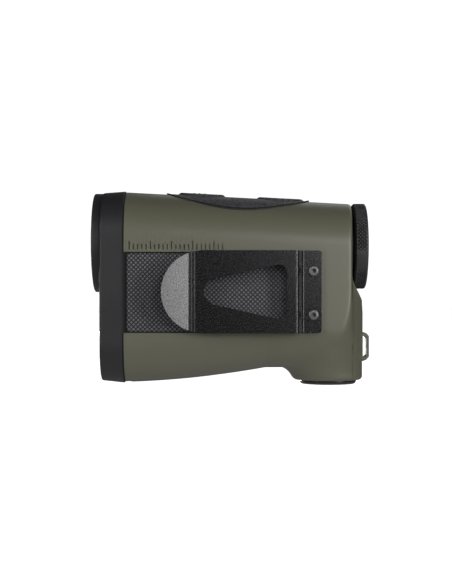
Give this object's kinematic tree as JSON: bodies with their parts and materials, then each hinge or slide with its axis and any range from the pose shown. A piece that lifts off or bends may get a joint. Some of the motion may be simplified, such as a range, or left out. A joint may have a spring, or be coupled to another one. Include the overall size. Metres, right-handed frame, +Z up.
{
  "type": "laser rangefinder",
  "caption": "Hand-held laser rangefinder: olive two-part housing, black objective bezel, diopter eyepiece, top button pad, bent-sheet belt clip and screw-in battery cap.",
  "frame": {"origin": "centre of the battery cap's outer face, on the axis of the battery column", "axes": "+X from the objective to the eyepiece, +Z up from the battery cap to the buttons, belt clip on the -Y side"},
  "size_m": [0.1006, 0.0494, 0.0706],
  "materials": {
    "body_olive": "fine matt moulded olive-green plastic",
    "black_plastic": "satin black moulded plastic",
    "cap_plastic": "semi-gloss black moulded plastic",
    "rubber": "matt black rubber, pebbled on the button pad",
    "grip_rubber": "charcoal rubber with a diamond grid",
    "coated_steel": "fine-textured black powder coat on sheet steel",
    "bare_steel": "plain steel",
    "brass": "machined",
    "alloy": "die-cast, unpainted",
    "lens_glass": "coated optical glass",
    "circuit_board": "green solder mask",
    "chip_plastic": "moulded black resin",
    "flex_film": "amber polyimide film",
    "cell_wrap": "plain blue shrink wrap"
  },
  "bodies": {
    "body": {"left_housing": "body_olive", "right_housing": "body_olive", "lanyard_loop": "body_olive", "front_bezel": "black_plastic", "objective_retainer": "black_plastic", "emitter_retainer": "black_plastic", "emitter_tube": "black_plastic", "eyepiece_barrel": "black_plastic", "battery_sleeve": "black_plastic", "bezel_seal": "rubber", "objective_seal": "rubber", "button_pad": "rubber", "underside_pad": "rubber", "left_grip_pad": "grip_rubber", "right_grip_pad": "grip_rubber", "belt_clip_foot": "coated_steel", "housing_screw_1": "bare_steel", "housing_screw_2": "bare_steel", "housing_screw_3": "bare_steel", "clip_screw_lower": "bare_steel", "clip_screw_upper": "bare_steel", "prism_clamp": "bare_steel", "battery_terminal": "bare_steel", "clip_insert_lower": "brass", "clip_insert_upper": "brass", "laser_diode": "brass", "optical_chassis": "alloy", "apd_detector": "alloy", "objective_lens": "lens_glass", "emitter_lens": "lens_glass", "prism_block_a": "lens_glass", "prism_block_b": "lens_glass", "display_panel": "lens_glass", "laser_board": "circuit_board", "receiver_board": "circuit_board", "button_board": "circuit_board", "main_board": "circuit_board", "measure_switch": "chip_plastic", "menu_switch": "chip_plastic", "processor_chip": "chip_plastic", "timing_chip": "chip_plastic", "power_inductor": "chip_plastic", "ribbon_cable": "flex_film", "battery": "cell_wrap"},
    "measure_button": {"measure_button": "rubber"},
    "menu_button": {"menu_button": "rubber"},
    "diopter": {"diopter_ring": "black_plastic", "eyecup": "rubber"},
    "ocular": {"ocular_cell": "black_plastic", "field_lens": "lens_glass", "eye_lens": "lens_glass"},
    "cap_carrier": {"battery_cap_oring": "rubber", "cap_contact_plate": "brass", "battery_spring": "bare_steel"},
    "battery_cap": {"battery_cap": "cap_plastic"},
    "clip_arm": {"belt_clip_arm": "coated_steel"}
  },
  "joints": [
    {"name": "measure_button_press", "type": "slide", "parent": "body", "child": "measure_button", "axis": [0, 0, -1], "range_m": [0, 0.0006], "stiffness_N_per_m": 3000},
    {"name": "menu_button_press", "type": "slide", "parent": "body", "child": "menu_button", "axis": [0, 0, -1], "range_m": [0, 0.0006], "stiffness_N_per_m": 3000},
    {"name": "diopter_turn", "type": "hinge", "parent": "body", "child": "diopter", "pos_m": [0.011, 0, 0.0505], "axis": [1, 0, 0], "range_deg": [-75, 75]},
    {"name": "ocular_slide", "type": "slide", "parent": "body", "child": "ocular", "axis": [1, 0, 0], "range_m": [-0.001, 0.001]},
    {"name": "battery_cap_lift", "type": "slide", "parent": "body", "child": "cap_carrier", "axis": [0, 0, -1], "range_m": [0, 0.003]},
    {"name": "battery_cap_turn", "type": "hinge", "parent": "cap_carrier", "child": "battery_cap", "pos_m": [0, 0, 0.001], "axis": [0, 0, -1], "range_deg": [0, 1080]},
    {"name": "clip_flex", "type": "hinge", "parent": "body", "child": "clip_arm", "pos_m": [-0.0122, -0.0249, 0.03375], "axis": [0, 0, 1], "range_deg": [0, 6], "stiffness_Nm_per_rad": 4}
  ],
  "couplings": [
    {"joint": "ocular_slide", "follows": "diopter_turn", "m_per_rad": 0.00076},
    {"joint": "battery_cap_turn", "follows": "battery_cap_lift", "rad_per_m": 6283}
  ]
}
